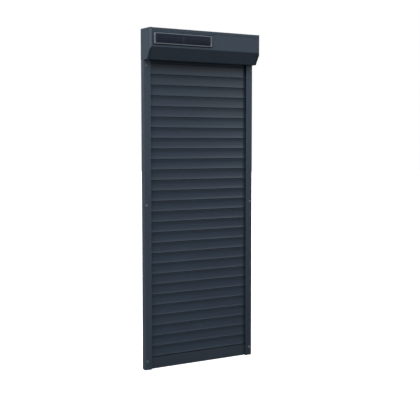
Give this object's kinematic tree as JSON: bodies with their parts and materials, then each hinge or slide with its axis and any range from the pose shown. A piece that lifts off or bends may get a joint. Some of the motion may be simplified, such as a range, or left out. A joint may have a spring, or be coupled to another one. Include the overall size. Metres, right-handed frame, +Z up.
{
  "type": "exterior roller shutter",
  "caption": "Exterior roller shutter: chamfered box with winding tube, motor and solar panel, two guide rails, and a curtain of hooked slats with a flat bottom bar.",
  "frame": {"origin": "centre of the four outer wall fixings, on the wall plane", "axes": "+X to the right seen from outdoors, +Y to the wall, +Z up"},
  "size_m": [0.864, 0.1404, 2.2782],
  "materials": {
    "box_coat": "satin anthracite powder coat",
    "rail_coat": "satin anthracite powder coat",
    "slat_coat": "satin anthracite lacquer",
    "bar_coat": "satin anthracite powder coat",
    "black_rubber": "matt black rubber",
    "black_plastic": "black moulded plastic",
    "grey_plastic": "dark grey moulded plastic",
    "zinc_steel": "galvanised steel",
    "bright_steel": "zinc-plated steel",
    "motor_shell": "plain metal tube",
    "panel_coat": "grey anodised",
    "panel_cells": "dark blue-black cells under glass",
    "battery_shell": "black sleeve"
  },
  "bodies": {
    "frame": {"left_cheek": "box_coat", "right_cheek": "box_coat", "top_cover": "box_coat", "front_hatch": "box_coat", "left_rail": "rail_coat", "right_rail": "rail_coat", "rail_lip_seals": "black_rubber", "inlet_lip": "black_rubber", "inlet_guides": "black_plastic", "battery_clips": "black_plastic", "rail_feet": "grey_plastic", "rail_caps": "grey_plastic", "motor_bracket": "zinc_steel", "bearing_bracket": "zinc_steel", "box_screws": "bright_steel", "panel_screws": "bright_steel", "idler_bearing": "bright_steel", "tube_motor": "motor_shell", "panel_frame": "panel_coat", "panel_glass": "panel_cells", "battery_pack": "battery_shell"},
    "curtain": {"slat_01": "slat_coat", "slat_02": "slat_coat", "slat_03": "slat_coat", "slat_04": "slat_coat", "slat_05": "slat_coat", "slat_06": "slat_coat", "slat_07": "slat_coat", "slat_08": "slat_coat", "slat_09": "slat_coat", "slat_10": "slat_coat", "slat_11": "slat_coat", "slat_12": "slat_coat", "slat_13": "slat_coat", "slat_14": "slat_coat", "slat_15": "slat_coat", "slat_16": "slat_coat", "slat_17": "slat_coat", "slat_18": "slat_coat", "slat_19": "slat_coat", "slat_20": "slat_coat", "slat_21": "slat_coat", "slat_22": "slat_coat", "slat_23": "slat_coat", "slat_24": "slat_coat", "slat_25": "slat_coat", "slat_26": "slat_coat", "slat_27": "slat_coat", "slat_28": "slat_coat", "slat_29": "slat_coat", "slat_end_clips": "black_plastic", "lock_links": "black_plastic", "end_bar": "bar_coat", "bar_seal": "black_rubber", "bar_end_caps": "grey_plastic"},
    "tube": {"winding_tube": "zinc_steel", "crown_ring": "black_plastic", "drive_wheel": "black_plastic", "idler_plug": "black_plastic", "lock_clips": "black_plastic"}
  },
  "joints": [
    {"name": "curtain_lift", "type": "slide", "parent": "frame", "child": "curtain", "axis": [0, 0, 1], "range_m": [0, 1.985], "deforming": ["slat_01", "slat_02", "slat_03", "slat_04", "slat_05", "slat_06", "slat_07", "slat_08", "slat_09", "slat_10", "slat_11", "slat_12", "slat_13", "slat_14", "slat_15", "slat_16", "slat_17", "slat_18", "slat_19", "slat_20", "slat_21", "slat_22", "slat_23", "slat_24", "slat_25", "slat_26", "slat_27", "slat_28", "slat_29", "slat_end_clips", "lock_links"]},
    {"name": "tube_spin", "type": "hinge", "parent": "frame", "child": "tube", "pos_m": [0, -0.068, 1.1261], "axis": [1, 0, 0], "range_deg": [0, 2570]}
  ],
  "couplings": [
    {"joint": "tube_spin", "follows": "curtain_lift", "rad_per_m": 22.5}
  ]
}
